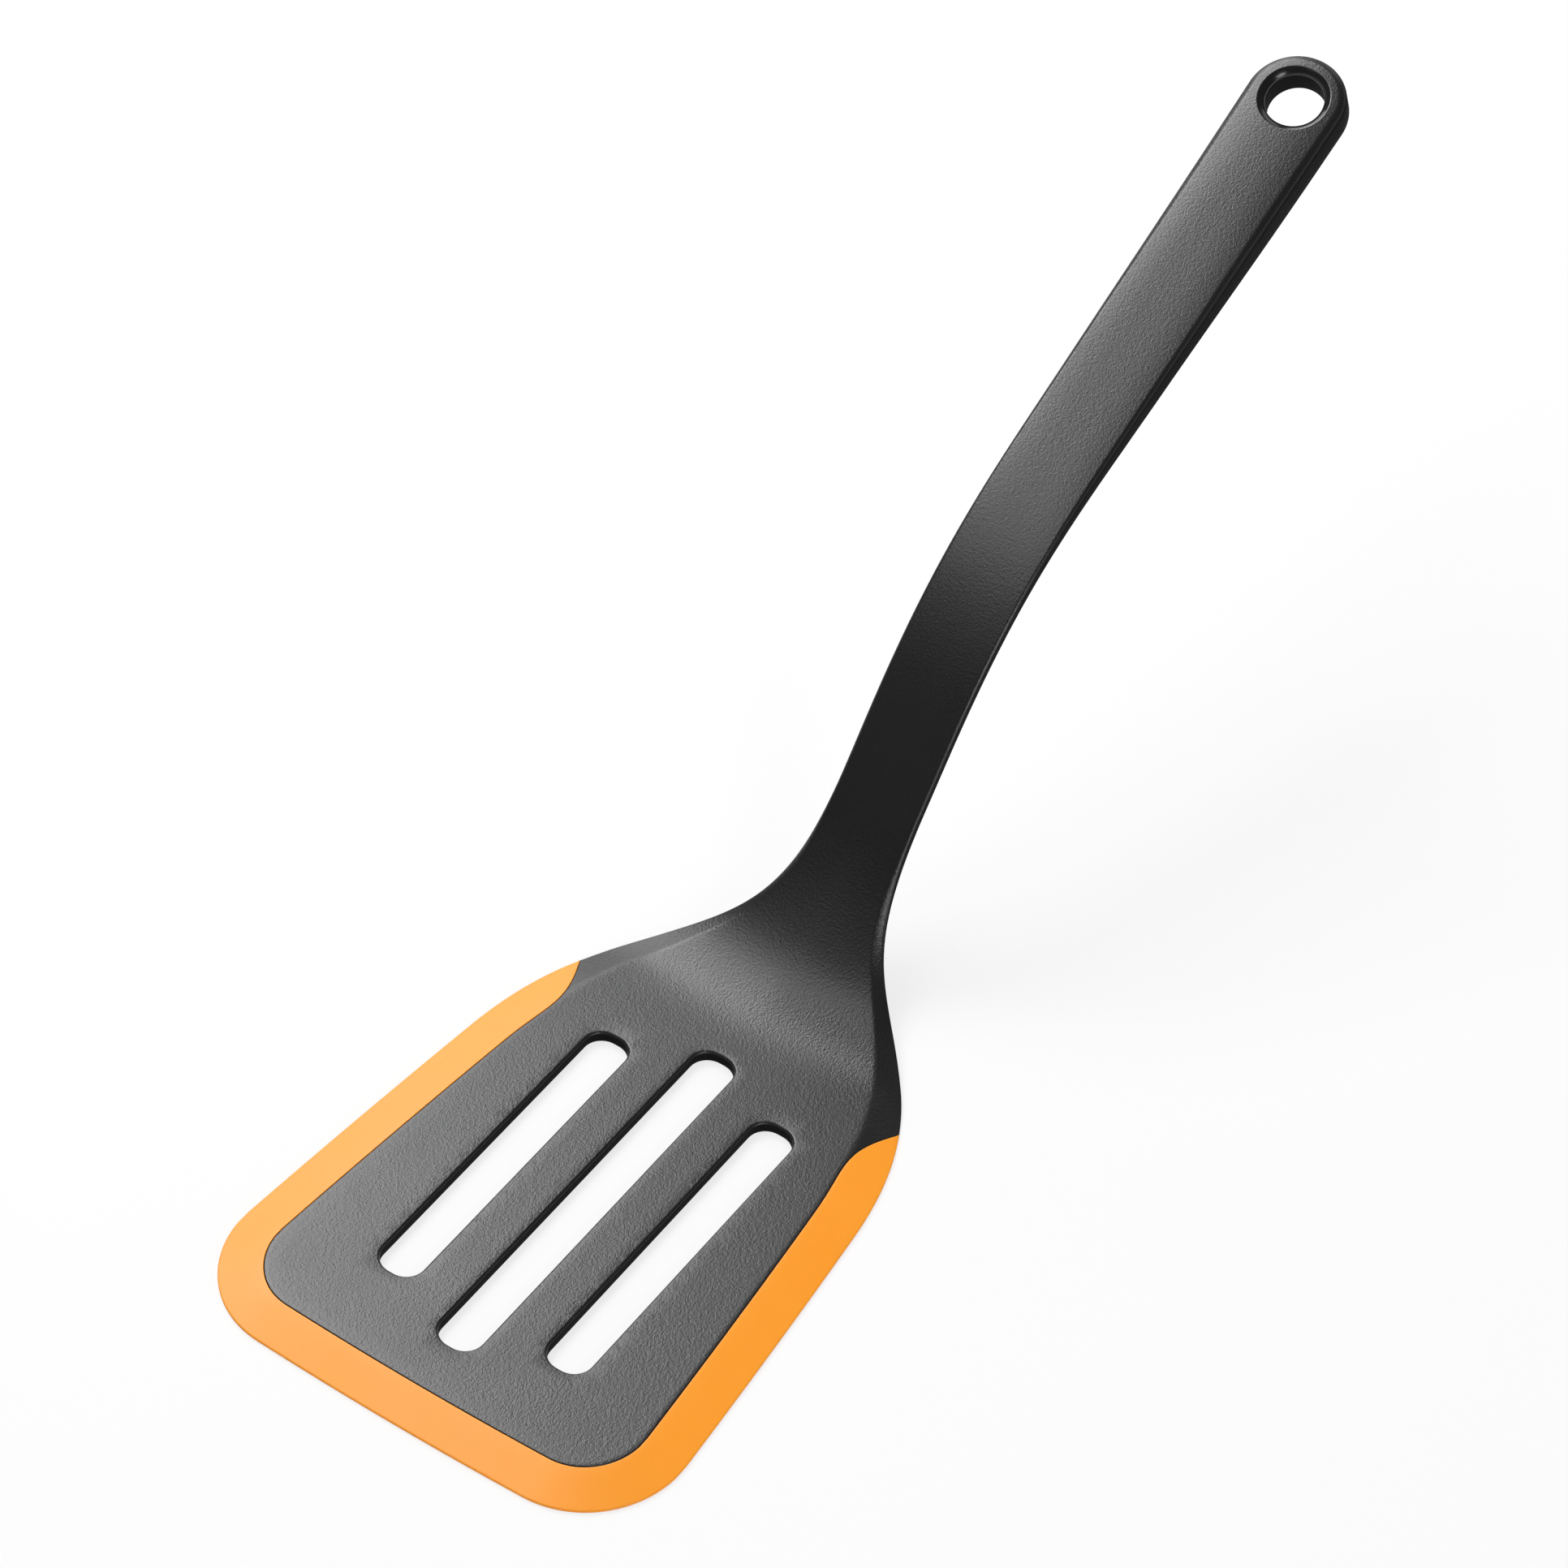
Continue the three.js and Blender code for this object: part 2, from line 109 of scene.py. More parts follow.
# Silicone lip, and the nylon ledge and pegs that hold it
LIP_WIDTH = 7.7
LIP_TAIL_START = SIDE_END + 0.151 * SHOULDER_LENGTH
LIP_TAIL_EASE = 8.8
LIP_TIP = SIDE_END + 0.756 * SHOULDER_LENGTH
LIP_TIP_EASE = 11
LIP_TIP_ANGLE = 25
LEDGE_REACH = 3
LEDGE_THICKNESS = 0.6
LEDGE_END = SIDE_END + 0.3
LEDGE_DEPTH = BLADE_THICKNESS - LEDGE_THICKNESS
PEG_COUNT = 15
PEG_RADIUS = 0.75
SEAM = 0.08
SEAM_ROUND = 0.14
RIM_ROUND = 0.16

# Smooth band that the nylon has along the lip, where the mould for the silicone closed on it
BAND_WIDTH = 3
BAND_EDGE = 0.8

# Cosine of the turn from the top face below which the nylon is a matt wall, and the range over which it
# turns matt, on the blade and neck and on the end of the handle. A face gets the walls' own material where
# all its points are more of a wall than the share.
WALL_COSINES = (0.25, 0.5)
WALL_RANGES = (0.2, 0.3)
WALL_SHARE = 0.99

# Bends of the spine: start, length and turn in degrees
BENDS = [
    (SHOULDER_END - 0.315 * SHOULDER_LENGTH, 0.63 * NECK_LENGTH, 28.75),
    (SHOULDER_END - 0.34 * SHOULDER_LENGTH, 1.45 * NECK_LENGTH, 24.9),
    (NECK_END + 0.026 * HANDLE_LENGTH, 0.475 * HANDLE_LENGTH, -29.8),
]

# Sections: s, width of the sloping edge, depth of its foot, depth of the underside at the outline and
# in the middle, how round the sloping edge is, and the fall of the cambered top face from the middle line to
# the outline, with the power of the distance that it follows
SECTIONS = np.array([
    (0, LIP_WIDTH, RIM_DEPTH, BLADE_THICKNESS, BLADE_THICKNESS, 0, 0, 1.35),
    (SIDE_END + 0.2 * SHOULDER_LENGTH, LIP_WIDTH, RIM_DEPTH, BLADE_THICKNESS, BLADE_THICKNESS, 0, 0, 1.35),
    (SIDE_END + 0.75 * SHOULDER_LENGTH, 6, RIM_DEPTH, BLADE_THICKNESS, BLADE_THICKNESS, 0, 0.12, 1.35),
    (SHOULDER_END, 4.6, 1.7, 2.25, 2.45, 0, 0.55, 1.35),
    (SHOULDER_END + 0.25 * NECK_LENGTH, 2.48, 1.75, 2.15, 3.09, 0.1, 0.8, 1.35),
    (SHOULDER_END + 0.55 * NECK_LENGTH, 1.5, 1.15, 1.8, 3.99, 0.4, 0.35, 1.35),
    (SHOULDER_END + 0.9 * NECK_LENGTH, 0.65, 0.5, 1.5, 4.5, 1, 0, 4),
    (NECK_END + 0.25 * HANDLE_LENGTH, 0.65, 0.55, 1.6, 4.69, 1, 0.12, 4),
    (NECK_END + 0.6 * HANDLE_LENGTH, 1, 1, 3.78, 5.39, 1, 0.25, 4),
    (HOLE_CENTRE - HANDLE_END_RADIUS, 1.6, 1.4, 5.96, 6.34, 1, 0.5, 2.4),
    (HOLE_CENTRE + HANDLE_END_RADIUS, 1.6, 1.4, 6.05, 6.4, 1, 0.55, 2.2),
])
BEVEL, FOOT, EDGE, BELLY, ROUND, CAMBER, CAMBER_POWER = range(1, 8)

# Share of the half width over which the belly is level, and share of the sloping edge's width over which its
# crease with the top face is rounded on either side
BELLY_LEVEL = 0.5
CREASE_BLEND = 0.12

# Underside: width of the strip along its rim, under the lip and behind it, and the length of the change
UNDER_STRIP = (0.3, 3)
UNDER_STRIP_EASE = 20

# Steps along each stretch of the half outline, and shares of the way across the strips beside it
STEPS = {"front": 26, "corner": 30, "side": 40, "shoulder": 60, "neck": 46, "handle": 100, "end": 30}
EDGE_SHARES = [0, 0.005, 0.012, 0.022, 0.035, 0.06, *np.linspace(0.1, 1, 21)]
UNDER_SHARES = [0, 0.004, 0.016, 0.04, 0.09, 0.18, 0.33, 0.6, 1]
LIP_SHARES = [0, 0.002, 0.007, 0.015, 0.025, 0.06, 0.2, 0.4, 0.6, 0.8, 0.95, 0.98, 0.99, 0.996, 1]

# Steps round the hanging hole, a slot's corner and a peg, length of a step along a slot, and steps over the
# round edges of the slots and of the hole
HOLE_STEPS = 72
SLOT_CORNER_STEPS = 12
PEG_STEPS = 20
SLOT_SIDE_STEP = 2.5
SLOT_ROUND_STEPS = 6
SLOT_BACK_STEPS = 3
HOLE_FLARE_STEPS = 9
HOLE_BACK_STEPS = 4

# Points inside the large faces: places of their rows along s, gaps within a row, and distance from the edges
FILL_ROWS = np.concatenate([np.arange(14, 96, 4), np.arange(96, 310, 1.5)])
TOP_GAP = 1.5
UNDER_GAP = 1.6
FILL_MARGIN = 0.5

# Samples that curves are searched with, a length next to nothing, the distances in metres at which points
# are welded and edges dropped, the tolerance of the fills, and the angle in degrees from which an edge is
# sharp
SHOULDER_SAMPLES = 4001
TAIL_SAMPLES = 2001
TINY = 1e-9
WELD_DISTANCE = 2e-7
SHORTEST_EDGE = 1e-8
FILL_TOLERANCE = 1e-7
SHARP_ANGLE = 40


def section(s, column):
    """A column of SECTIONS at s, on a smooth curve that never overshoots its stations."""
    at, value = SECTIONS[:, 0], SECTIONS[:, column]
    chord = np.diff(value) / np.diff(at)
    slope = np.zeros(len(at))
    same = chord[:-1] * chord[1:] > 0
    slope[1:-1][same] = 2 * (chord[:-1] * chord[1:])[same] / (chord[:-1] + chord[1:])[same]
    i = np.clip(np.searchsorted(at, s, side="right") - 1, 0, len(at) - 2)
    span = at[i + 1] - at[i]
    t = np.clip((s - at[i]) / span, 0, 1)
    rise = t * t * (3 - 2 * t) * (value[i + 1] - value[i])
    return value[i] + rise + t * (1 - t) ** 2 * span * slope[i] + t * t * (t - 1) * span * slope[i + 1]


def smoothstep(s, start, length):
    """Smooth rise from 0 at the start to 1 after a length."""
    t = np.clip((s - start) / length, 0, 1)
    return t * t * (3 - 2 * t)


def heading(s):
    """Angle of the spine at s, in radians above the blade."""
    return sum(math.radians(turn) * smoothstep(s, start, length) for start, length, turn in BENDS)


SPINE_STEP = 0.05
spine_s = np.arange(0, HOLE_CENTRE + HANDLE_END_RADIUS + 1, SPINE_STEP)
middle = heading(spine_s[:-1] + SPINE_STEP / 2)
spine_x = np.concatenate([[0], np.cumsum(np.cos(middle) * SPINE_STEP)])
spine_z = np.concatenate([[0], np.cumsum(np.sin(middle) * SPINE_STEP)]) + BLADE_THICKNESS
origin_x = 1000 * cad_box[0].x


def place(flat, depth):
    """Points of the bent body, in metres, for points (s, y) of the flat layout at a depth."""
    s, y = flat[:, 0], flat[:, 1]
    angle = heading(s)
    x = np.interp(s, spine_s, spine_x) + depth * np.sin(angle) + origin_x
    z = np.interp(s, spine_s, spine_z) - depth * np.cos(angle)
    return np.column_stack([x, y, z]) / 1000


# Half outline


def bezier(points, t):
    """Points and tangents of a Bezier curve of any degree."""
    points = np.array(points, float)
    n = len(points) - 1
    t = np.asarray(t, float)[:, None]
    basis = [math.comb(n, i) * t**i * (1 - t) ** (n - i) for i in range(n + 1)]
    at = sum(b * p for b, p in zip(basis, points))
    slopes = [math.comb(n - 1, i) * t**i * (1 - t) ** (n - 1 - i) for i in range(n)]
    along = sum(b * p for b, p in zip(slopes, np.diff(points, axis=0)))
    return at, along / np.linalg.norm(along, axis=1)[:, None]


def arc(centre, radius, start, end, t):
    """Points and tangents of an arc with its centre on the middle line."""
    angle = start + (end - start) * np.asarray(t)
    at = np.column_stack([centre + radius * np.cos(angle), radius * np.sin(angle)])
    turn = math.copysign(1, end - start)
    return at, turn * np.column_stack([-np.sin(angle), np.cos(angle)])


def way(degrees):
    """Unit vector at an angle from the middle line."""
    return np.array([math.cos(math.radians(degrees)), math.sin(math.radians(degrees))])


def unit(v):
    return v / np.linalg.norm(v)


front_angle = math.asin(FRONT_HALF_WIDTH / FRONT_RADIUS)
front_end = np.array([FRONT_RADIUS * (1 - math.cos(front_angle)), FRONT_HALF_WIDTH])
corner_end = np.array([CORNER_LENGTH, BLADE_HALF_WIDTH])
rear = np.array([SIDE_END, REAR_HALF_WIDTH])
side_middle = (corner_end + rear) / 2 + (0, 2 * SIDE_BULGE)
shoulder = np.array([SHOULDER_END, SHOULDER_HALF_WIDTH])
neck = np.array([NECK_END, NECK_HALF_WIDTH])
handle = np.array([HOLE_CENTRE, HANDLE_END_RADIUS])
front_way = np.array([math.sin(front_angle), math.cos(front_angle)])
shoulder_curve = [
    rear,
    rear + SHOULDER_EASES[0] * unit(rear - side_middle),
    shoulder - SHOULDER_EASES[1] * way(-SHOULDER_ANGLE),
    shoulder,
]


def half_outline():
    """Points and inward normals from the middle of the front edge to the end of the handle."""
    t = {name: np.linspace(0, 1, count + 1) for name, count in STEPS.items()}
    fine = np.linspace(0, 1, SHOULDER_SAMPLES)
    tip = np.interp(LIP_TIP, bezier(shoulder_curve, fine)[0][:, 0], fine)
    t["shoulder"] = np.sort(np.append(t["shoulder"], tip))
    stretches = [
        arc(FRONT_RADIUS, FRONT_RADIUS, math.pi, math.pi - front_angle, t["front"]),
        bezier([
            front_end,
            front_end + CORNER_EASE * front_way,
            corner_end - CORNER_EASE * unit(side_middle - corner_end),
            corner_end,
        ], t["corner"]),
        bezier([corner_end, side_middle, rear], t["side"]),
        bezier(shoulder_curve, t["shoulder"]),
        bezier([
            shoulder,
            shoulder + NECK_EASES[0] * way(-SHOULDER_ANGLE),
            neck - NECK_EASES[1] * way(0),
            neck,
        ], t["neck"]),
        bezier([neck, neck + HANDLE_EASE * way(0), handle], t["handle"]),
        arc(HOLE_CENTRE, HANDLE_END_RADIUS, math.pi / 2, 0, t["end"]),
    ]
    at = np.concatenate([s[0] if i == 0 else s[0][1:] for i, s in enumerate(stretches)])
    along = np.concatenate([s[1] if i == 0 else s[1][1:] for i, s in enumerate(stretches)])
    normal = np.column_stack([along[:, 1], -along[:, 0]])
    at[:, 1] = np.minimum(at[:, 1], BLADE_HALF_WIDTH)
    at[[0, -1], 1] = 0
    normal[0], normal[-1] = (1, 0), (-1, 0)
    return at, normal


half, half_normal = half_outline()
LAST = len(half) - 1
TIP = int(np.argmin(np.abs(half[:, 0] - LIP_TIP)))


def half_width(s):
    """Half width of the outline at s, up to the hole's centre."""
    return np.interp(s, half[:, 0], half[:, 1])


def lip_reach():
    """Distance from each sample of the half outline, along its normal, to the line of the lip."""
    reach = np.where(half[:, 0] <= LIP_TAIL_START, LIP_WIDTH, 0.0)
    start = np.array([np.interp(LIP_TAIL_START, half[:, 0], half[:, k]) for k in (0, 1)])
    normal = unit(np.array([np.interp(LIP_TAIL_START, half[:, 0], half_normal[:, k]) for k in (0, 1)]))
    tail_start = start + LIP_WIDTH * normal
    tail_way = np.array([-normal[1], normal[0]])
    tail, _ = bezier([
        tail_start,
        tail_start + LIP_TAIL_EASE * tail_way,
        half[TIP] - LIP_TIP_EASE * way(LIP_TIP_ANGLE),
        half[TIP],
    ], np.linspace(0, 1, TAIL_SAMPLES))
    for j in range(TIP):
        if half[j, 0] > LIP_TAIL_START:
            away = tail - half[j]
            across = away[:, 0] * half_normal[j, 1] - away[:, 1] * half_normal[j, 0]
            reach[j] = away[np.argmin(np.abs(across))] @ half_normal[j]
    return reach


half_reach = lip_reach()


def around(values, flip=False):
    """Values of the half outline carried round the whole outline, with flip changing y on the far side."""
    mirror = values[-2:0:-1] * ((1, -1) if flip else 1)
    return np.concatenate([values, mirror])


def along_lip(values, flip=False):
    """Values of the half outline from one tip of the lip round the front to the other tip."""
    near = values[: TIP + 1]
    return np.concatenate([near[:0:-1] * ((1, -1) if flip else 1), near])


class Layout:
    """Samples of an outline with the section's sizes at each of them."""

    def __init__(self, carry):
        self.at = carry(half, flip=True)
        self.normal = carry(half_normal, flip=True)
        self.reach = carry(half_reach)
        s = self.at[:, 0]
        self.bevel, self.foot, self.edge, self.round, self.camber = (
            section(s, column) for column in (BEVEL, FOOT, EDGE, ROUND, CAMBER)
        )

    def inset(self, distance):
        """The outline moved inwards by a distance."""
        return self.at + self.normal * np.broadcast_to(distance, len(self.at))[:, None]

    def slope(self, distance):
        """Depth of the sloping or round edge below the cambered top face, at a distance from the outline."""
        share = np.broadcast_to(distance / self.bevel, len(self.at))
        low = 1 - CREASE_BLEND
        high = 1 + CREASE_BLEND
        blend = np.clip(high - share, 0, None) ** 2 / (4 * CREASE_BLEND)
        straight = np.where(share < low, 1 - share, blend)
        fillet = 1 - np.sqrt(1 - np.clip(1 - share, 0, 1) ** 2)
        bevel_foot = self.foot - self.camber
        return (1 - self.round) * bevel_foot * straight + self.round * self.foot * fillet


def rounding(distance, radius):
    """Extra depth that a round edge of some radius has at a distance from that edge."""
    radius = np.maximum(radius, TINY)
    share = np.clip(1 - distance / radius, 0, 1)
    return radius * (1 - np.sqrt(1 - share**2))


def share_across(flat):
    """How far points of the flat layout lie from the middle line, as a share of the way to the outline."""
    s, y = flat[:, 0], flat[:, 1]
    across = np.abs(y) / np.maximum(half_width(np.minimum(s, HOLE_CENTRE)), TINY)
    beyond = np.hypot(y, s - HOLE_CENTRE) / HANDLE_END_RADIUS
    return np.clip(np.where(s > HOLE_CENTRE, beyond, across), 0, 1)


def camber(flat):
    """Depth of the top face at points of the flat layout."""
    return section(flat[:, 0], CAMBER) * share_across(flat) ** section(flat[:, 0], CAMBER_POWER)


def belly(flat):
    """Depth of the underside at points of the flat layout."""
    edge = section(flat[:, 0], EDGE)
    rounded = np.clip(share_across(flat) - BELLY_LEVEL, 0, None) / (1 - BELLY_LEVEL)
    return edge + (section(flat[:, 0], BELLY) - edge) * np.sqrt(1 - rounded**2)


# Meshes


def inside(points, loops):
    """Which points lie inside an odd number of the loops."""
    x, y = points[:, 0][:, None], points[:, 1][:, None]
    odd = np.zeros(len(points), bool)
    for loop in loops:
        a, b = loop, np.roll(loop, -1, axis=0)
        spans = (a[:, 1] > y) != (b[:, 1] > y)
        rise = np.where(b[:, 1] == a[:, 1], 1, b[:, 1] - a[:, 1])
        crossing = a[:, 0] + (y - a[:, 1]) / rise * (b[:, 0] - a[:, 0])
        odd ^= (np.sum(spans & (x < crossing), axis=1) % 2).astype(bool)
    return odd


class Shell:
    """Faces of one piece, collected patch by patch and welded into one closed mesh."""

    def __init__(self):
        self.points, self.faces = [], []

    def add(self, points, faces):
        start = sum(len(p) for p in self.points)
        self.points.append(points)
        self.faces += [[start + i for i in face] for face in faces]

    def strip(self, rows, closed=True):
        """Quads between rows of the same number of points."""
        count = len(rows[0])
        steps = range(count if closed else count - 1)
        for low, high in zip(rows, rows[1:]):
            quads = [(i, (i + 1) % count, count + (i + 1) % count, count + i) for i in steps]
            self.add(np.concatenate([low, high]), quads)

    def fill(self, loops, lift, extra=()):
        """Triangles over the area inside the loops, raised by lift, with some extra points in it."""
        points = np.concatenate([*loops, extra]) if len(extra) else np.concatenate(loops)
        edges, start = [], 0
        for loop in loops:
            n = len(loop)
            edges += [(start + i, start + (i + 1) % n) for i in range(n)]
            start += n
        made = delaunay_2d_cdt([Vector(p) for p in points], edges, [], 0, FILL_TOLERANCE)
        flat = np.array([v[:] for v in made[0]])
        triangles = np.array([face for face in made[2] if len(face) == 3])
        kept = triangles[inside(flat[triangles].mean(axis=1), loops)]
        self.add(lift(flat), kept.tolist())

    def finish(self, name, materials):
        """One smooth-shaded object of all the faces, on the root body."""
        mesh = bpy.data.meshes.new(name)
        mesh.from_pydata(np.concatenate(self.points).tolist(), [], self.faces)
        build = bmesh.new()
        build.from_mesh(mesh)
        bmesh.ops.remove_doubles(build, verts=build.verts, dist=WELD_DISTANCE)
        bmesh.ops.dissolve_degenerate(build, edges=build.edges, dist=SHORTEST_EDGE)
        bmesh.ops.recalc_face_normals(build, faces=build.faces)
        build.to_mesh(mesh)
        build.free()
        mesh.polygons.foreach_set("use_smooth", [True] * len(mesh.polygons))
        mesh.set_sharp_from_angle(angle=math.radians(SHARP_ANGLE))
        for material in materials:
            mesh.materials.append(material)
        made = bpy.data.objects.new(name, mesh)
        bpy.context.scene.collection.objects.link(made)
        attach(made, "root")
        return made


def oblong(start, end, y, grow):
    """Loop round a slot, grown outwards by some distance."""
    loop = []
    reach = SLOT_CORNER_RADIUS + grow
    for turn, (sx, sy) in enumerate([(1, 1), (-1, 1), (-1, -1), (1, -1)]):
        cx = (start + end) / 2 + sx * ((end - start) / 2 - SLOT_CORNER_RADIUS)
        cy = y + sy * (SLOT_WIDTH / 2 - SLOT_CORNER_RADIUS)
        for i in range(SLOT_CORNER_STEPS + 1):
            angle = (turn + i / SLOT_CORNER_STEPS) * math.pi / 2
            loop.append((cx + reach * math.cos(angle), cy + reach * math.sin(angle)))
        if turn in (0, 2):
            count = int((end - start) / SLOT_SIDE_STEP)
            far = np.array((cx - sx * (end - start - 2 * SLOT_CORNER_RADIUS), loop[-1][1]))
            last = np.array(loop[-1])
            loop += [tuple(last + (far - last) * k / count) for k in range(1, count)]
    return np.array(loop)


def circle(centre, radius, steps):
    """Loop round a centre."""
    angle = np.arange(steps) * 2 * math.pi / steps
    return np.column_stack([centre[0] + radius * np.cos(angle), centre[1] + radius * np.sin(angle)])


def hole_ring(radius):
    """Loop round the hanging hole."""
    return circle((HOLE_CENTRE, 0), radius, HOLE_STEPS)


def quarter(steps):
    """Sine and 1 - cosine over a quarter turn."""
    angle = np.linspace(0, math.pi / 2, steps + 1)
    return list(zip(np.sin(angle), 1 - np.cos(angle)))


def level(depth):
    """Function that places points of the flat layout at one depth."""
    return lambda flat: place(flat, np.full(len(flat), depth))


def over(flat):
    """Points on the top face."""
    return place(flat, camber(flat))


def under(flat):
    """Points on the underside."""
    return place(flat, belly(flat))


def rows_of_points(loops, gap):
    """Points in rows across the body, inside the loops and clear of them."""
    made = []
    for s in FILL_ROWS:
        width = half_width(min(s, HOLE_CENTRE))
        count = max(2, int(2 * width / gap))
        made += [(s, y) for y in np.linspace(-width, width, 2 * (count // 2) + 1)]
    made = np.array(made)
    made = made[inside(made, loops)]
    edge_points = np.concatenate(loops)
    near = np.array([np.min(np.hypot(*(edge_points - p).T)) for p in made])
    return made[near > FILL_MARGIN]


# Middles of the pegs, spaced evenly along the middle of the ledge
peg_line = along_lip(half + half_normal * (LIP_WIDTH - LEDGE_REACH / 2), flip=True)
peg_line = peg_line[np.abs(np.arange(len(peg_line)) - TIP) <= np.sum(half[:, 0] <= LEDGE_END) - 1]
peg_run = np.concatenate([[0], np.cumsum(np.hypot(*np.diff(peg_line, axis=0).T))])
peg_at = (np.arange(PEG_COUNT) + 0.5) / PEG_COUNT * peg_run[-1]
pegs = np.column_stack([np.interp(peg_at, peg_run, peg_line[:, k]) for k in (0, 1)])


def nylon_body(*materials):
    """Handle, neck and slotted blade with its ledge."""
    shell = Shell()
    body = Layout(around)
    s = body.at[:, 0]
    on_ledge = s <= LEDGE_END
    has_lip = body.reach > 0
    rim = np.where(has_lip, body.reach + SEAM / 2, 0)
    edge_round = np.where(has_lip, SEAM_ROUND, RIM_ROUND * (1 - body.round))

    # Edge of the top face, from the lip or the outline to the inside of the crease and of the band
    inner_edge = np.maximum(body.bevel * (1 + CREASE_BLEND), rim + np.where(has_lip, BAND_WIDTH, 0))
    flats, depths = [], []
    for share in EDGE_SHARES:
        distance = rim + (inner_edge - rim) * share
        flat = body.inset(distance)
        flats.append(flat)
        depths.append(camber(flat) + body.slope(distance) + rounding(distance - rim, edge_round))
    shell.strip([place(flat, depth) for flat, depth in zip(flats, depths)])

    # Flat of the top face, open at the slots and the hole
    hole_edge = hole_ring(HOLE_RIM_RADIUS + HOLE_RIM_ROUND)
    loops = [flats[-1], *[oblong(*slot, SLOT_ROUND) for slot in SLOTS], hole_edge]
    shell.fill(loops, over, rows_of_points(loops, TOP_GAP))

    # Slots and hole, from the round of the top edge down to the round of the bottom edge
    down = [(SLOT_ROUND * (1 - a), SLOT_ROUND * b) for a, b in quarter(SLOT_ROUND_STEPS)]
    back = [
        (SLOT_BACK_ROUND * b, BLADE_THICKNESS - SLOT_BACK_ROUND * (1 - a))
        for a, b in quarter(SLOT_BACK_STEPS)
    ]
    for slot in SLOTS:
        rows = [oblong(*slot, grow) for grow, _ in down]
        rows = [place(row, camber(row) + depth) for row, (_, depth) in zip(rows, down)]
        shell.strip(rows + [level(depth)(oblong(*slot, grow)) for grow, depth in back])
    hole_rows = [over(hole_edge)]
    hole_top = camber(hole_ring(HOLE_RIM_RADIUS))
    for a, b in quarter(HOLE_FLARE_STEPS):
        ring = hole_ring(HOLE_RIM_RADIUS + (HOLE_RADIUS - HOLE_RIM_RADIUS) * a)
        share = HOLE_CONE_SHARE * a + (1 - HOLE_CONE_SHARE) * b
        hole_rows.append(place(ring, hole_top + HOLE_RIM_DEPTH * share))
    hole_rows.append(place(hole_ring(HOLE_RADIUS), hole_top + HOLE_RIM_DEPTH + HOLE_BORE_DROP))
    for a, b in quarter(HOLE_BACK_STEPS):
        ring = hole_ring(HOLE_RADIUS + HOLE_BACK_ROUND * b)
        hole_rows.append(place(ring, belly(ring) - HOLE_BACK_ROUND * (1 - a)))
    shell.strip(hole_rows)

    # Underside, open at the slots, the hole and the peg holes
    ledge_rim = np.where(on_ledge, LIP_WIDTH - LEDGE_REACH, rim)
    back_round = np.where(has_lip, 0, RIM_ROUND * (1 - body.round))
    reach = UNDER_STRIP[0] + (UNDER_STRIP[1] - UNDER_STRIP[0]) * smoothstep(s, LIP_TIP, UNDER_STRIP_EASE)
    under_rows = []
    for share in UNDER_SHARES:
        flat = body.inset(ledge_rim + reach * share)
        under_rows.append(place(flat, belly(flat) - rounding(reach * share, back_round)))
    shell.strip(under_rows)
    peg_holes = [circle(peg, PEG_RADIUS + SEAM / 2, PEG_STEPS) for peg in pegs]
    slot_backs = [oblong(*slot, SLOT_BACK_ROUND) for slot in SLOTS]
    hole_back = hole_ring(HOLE_RADIUS + HOLE_BACK_ROUND)
    loops = [body.inset(ledge_rim + reach), *slot_backs, hole_back, *peg_holes]
    shell.fill(loops, under, rows_of_points(loops, UNDER_GAP))

    # Side, from the top edge down to the underside, by way of the ledge under the lip
    foot = np.where(on_ledge, LEDGE_DEPTH, (depths[0] + body.edge) / 2)
    inner, outer = place(body.inset(rim), foot), place(body.inset(ledge_rim), foot)
    shell.strip([place(flats[0], depths[0]), inner])
    shell.strip([outer, under_rows[0]])
    ledge = np.flatnonzero(on_ledge)
    ledge = np.concatenate([ledge[ledge > LAST], ledge[ledge <= LAST]])
    ledge_loop = np.concatenate([body.inset(rim)[ledge], body.inset(ledge_rim)[ledge][::-1]])
    shell.fill([ledge_loop, *peg_holes], level(LEDGE_DEPTH))
    for ring in peg_holes:
        shell.strip([level(LEDGE_DEPTH)(ring), level(BLADE_THICKNESS)(ring)])
    for a, b in ((ledge[0] - 1, ledge[0]), (ledge[-1], ledge[-1] + 1)):
        shell.add(np.array([inner[a], inner[b], outer[b], outer[a]]), [(0, 1, 2, 3)])
    made = shell.finish("nylon_spatula_body", materials)
    mark_finishes(made.data)
    return made


